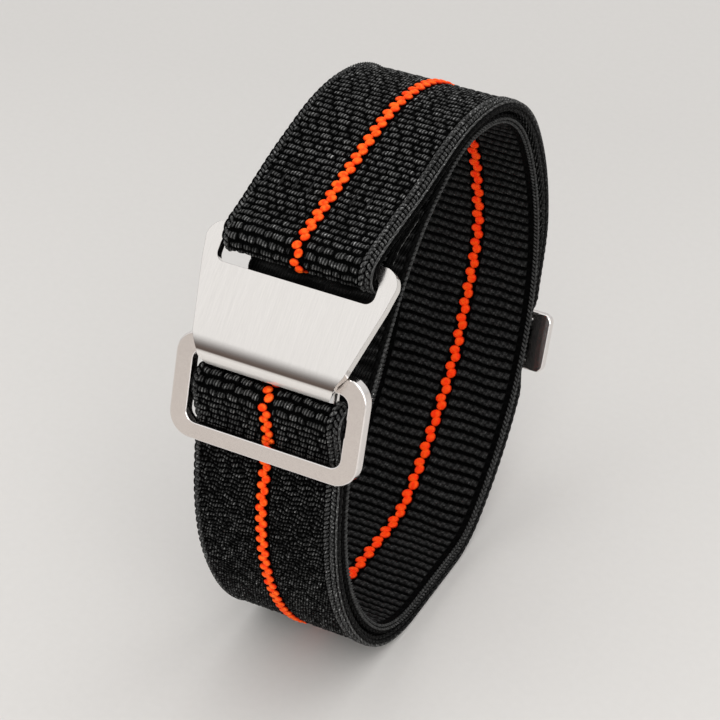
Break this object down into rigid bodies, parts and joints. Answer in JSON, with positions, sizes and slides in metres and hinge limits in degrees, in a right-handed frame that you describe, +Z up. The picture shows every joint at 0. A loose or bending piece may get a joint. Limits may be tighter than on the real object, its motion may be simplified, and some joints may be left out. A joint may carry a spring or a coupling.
{
  "type": "stretch watch band",
  "caption": "Elastic webbing watch band closed into a loop, with a centre stripe, a bent hook plate, a ring frame and a three-bar slider.",
  "frame": {"origin": "centre of the flat stretch of webbing that rests on the table, halfway across the band's width", "axes": "+X across the band's width, -Y towards the clasp, +Y towards the slider, +Z up"},
  "size_m": [0.0252, 0.0593, 0.0686],
  "materials": {
    "webbing": "elastic webbing: rubber yarns in a ribbed, dark charcoal woven cover with small glints",
    "stripe_yarn": "bright orange beaded yarn",
    "dark_thread": "dark sewing thread",
    "sealed_tip": "melted and hardened webbing end",
    "hook_steel": "brushed across the bend, with bright edges",
    "ring_steel": "satin, with bright edges",
    "slider_steel": "satin face, polished outer edge"
  },
  "bodies": {
    "band": {"outer_band_bottom": "webbing", "outer_band_front": "webbing", "outer_band_shoulder": "webbing", "ring_fold": "webbing", "inner_band_front": "webbing", "inner_band_bottom": "webbing", "inner_band_back": "webbing", "inner_band_top": "webbing", "inner_band_tail": "webbing", "outer_stripe_bottom": "stripe_yarn", "outer_stripe_front": "stripe_yarn", "outer_stripe_shoulder": "stripe_yarn", "ring_fold_stripe": "stripe_yarn", "inner_stripe_front": "stripe_yarn", "inner_stripe_bottom": "stripe_yarn", "inner_stripe_back": "stripe_yarn", "inner_stripe_top": "stripe_yarn", "inner_stripe_tail": "stripe_yarn", "heat_sealed_tip": "sealed_tip", "outer_band_back_lower": "webbing", "outer_band_back_upper": "webbing", "outer_stripe_back_lower": "stripe_yarn", "outer_stripe_back_upper": "stripe_yarn", "outer_band_top": "webbing", "outer_stripe_top": "stripe_yarn"},
    "hook": {"hook_plate": "hook_steel", "hook_fold": "webbing", "hook_fold_stripe": "stripe_yarn", "bar_tack": "dark_thread"},
    "ring": {"ring_frame": "ring_steel"},
    "slider": {"slider_frame": "slider_steel", "slider_fold": "webbing", "slider_fold_stripe": "stripe_yarn"}
  },
  "joints": [
    {"name": "slider_travel", "type": "hinge", "parent": "band", "child": "slider", "pos_m": [0, -0.01252, 0.03748], "axis": [1, 0, 0], "range_deg": [-6.5, 6.5], "deforming": ["outer_band_back_lower", "outer_band_back_upper", "outer_stripe_back_lower", "outer_stripe_back_upper"]},
    {"name": "ring_rock", "type": "hinge", "parent": "band", "child": "ring", "pos_m": [0, -0.02419, 0.04429], "axis": [1, 0, 0], "range_deg": [-4, 1.2]},
    {"name": "hook_swing", "type": "hinge", "parent": "band", "child": "hook", "pos_m": [0, -0.02343, 0.04982], "axis": [1, 0, 0], "range_deg": [-2.5, 12], "deforming": ["outer_band_top", "outer_stripe_top"]}
  ]
}
